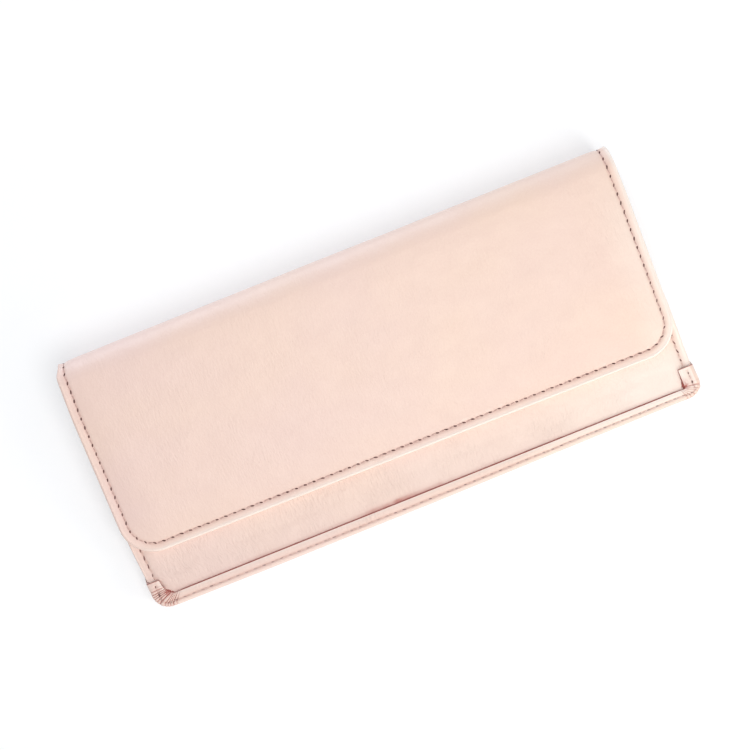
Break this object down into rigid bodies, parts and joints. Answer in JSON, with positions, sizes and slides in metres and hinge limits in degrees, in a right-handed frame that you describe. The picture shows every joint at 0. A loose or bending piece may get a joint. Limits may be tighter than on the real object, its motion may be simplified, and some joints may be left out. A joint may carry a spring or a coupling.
{
  "type": "clutch wallet",
  "caption": "Long leather clutch wallet with a full-width flap over a front panel, gusseted compartments, card slots and a zipped coin pocket, closed and lying on its back.",
  "frame": {"origin": "bottom centre of the closed wallet's bounding box, on the outer face of the back leather", "axes": "+X along the wallet's length, +Y from the lip towards the folded spine, +Z out of the flap, away from the back"},
  "size_m": [0.2, 0.09, 0.0223],
  "materials": {
    "blush_leather": "smooth, softly grained blush pink leather with a satin face",
    "inner_leather": "thin blush leather",
    "lining_cloth": "woven lining cloth, dusty rose beige",
    "board": "pressed fibre board, hidden",
    "plated_steel": "nickel plated, hidden",
    "zip_tape": "woven zip tape",
    "zip_coil": "nylon coil",
    "zip_metal": "pale gold plate"
  },
  "bodies": {
    "back": {"back_leather": "blush_leather", "back_board": "board", "back_lining": "lining_cloth", "card_slot_top": "inner_leather", "card_slot_middle": "inner_leather", "card_slot_bottom": "inner_leather", "bottom_seam_hem": "lining_cloth", "front_leather_foot": "blush_leather", "gusset_rear_left": "lining_cloth", "gusset_rear_right": "lining_cloth"},
    "spine": {"spine_leather": "blush_leather", "spine_board": "board", "spine_lining": "lining_cloth"},
    "flap": {"flap_leather": "blush_leather", "flap_board": "board", "flap_lining": "lining_cloth", "flap_magnet_left": "plated_steel", "flap_magnet_right": "plated_steel"},
    "front": {"front_leather": "blush_leather", "front_board": "board", "front_lining": "lining_cloth", "front_facing": "inner_leather", "front_keeper_left": "plated_steel", "front_keeper_right": "plated_steel", "gusset_front_left": "lining_cloth", "gusset_front_right": "lining_cloth"},
    "coin_pocket": {"pocket_rear_wall": "lining_cloth", "pocket_front_wall": "lining_cloth", "zip_tape_rear": "zip_tape", "zip_tape_front": "zip_tape", "zip_coil_rear": "zip_coil", "zip_coil_front": "zip_coil", "zip_stop_left": "zip_metal", "zip_stop_right": "zip_metal"},
    "zip_slider": {"zip_slider": "zip_metal"},
    "zip_pull": {"zip_pull": "zip_metal"}
  },
  "joints": [
    {"name": "flap_fold", "type": "hinge", "parent": "spine", "child": "flap", "pos_m": [0, 0.04315, 0.02138], "axis": [-1, 0, 0], "range_deg": [0, 99.48]},
    {"name": "spine_fold", "type": "hinge", "parent": "back", "child": "spine", "pos_m": [0, 0.04414, 0.00086], "axis": [-1, 0, 0], "range_deg": [0, 90]},
    {"name": "front_swing", "type": "hinge", "parent": "back", "child": "front", "pos_m": [0, -0.033, 0.0075], "axis": [1, 0, 0], "range_deg": [0, 16], "deforming": ["gusset_front_left", "gusset_front_right"]},
    {"name": "coin_pocket_swing", "type": "hinge", "parent": "back", "child": "coin_pocket", "pos_m": [0, -0.033, 0.00433], "axis": [1, 0, 0], "range_deg": [0, 8], "deforming": ["gusset_rear_left", "gusset_rear_right"]},
    {"name": "zip_slide", "type": "slide", "parent": "coin_pocket", "child": "zip_slider", "axis": [-1, 0, 0], "range_m": [0, 0.156]},
    {"name": "zip_pull_tilt", "type": "hinge", "parent": "zip_slider", "child": "zip_pull", "pos_m": [0.078, 0.03283, 0.01061], "axis": [0, 0.095, -0.9955], "range_deg": [0, 25]}
  ],
  "couplings": [
    {"joint": "spine_fold", "follows": "flap_fold", "ratio": 0.9046},
    {"joint": "front_swing", "follows": "flap_fold", "ratio": 0.16},
    {"joint": "coin_pocket_swing", "follows": "flap_fold", "ratio": 0.08}
  ]
}
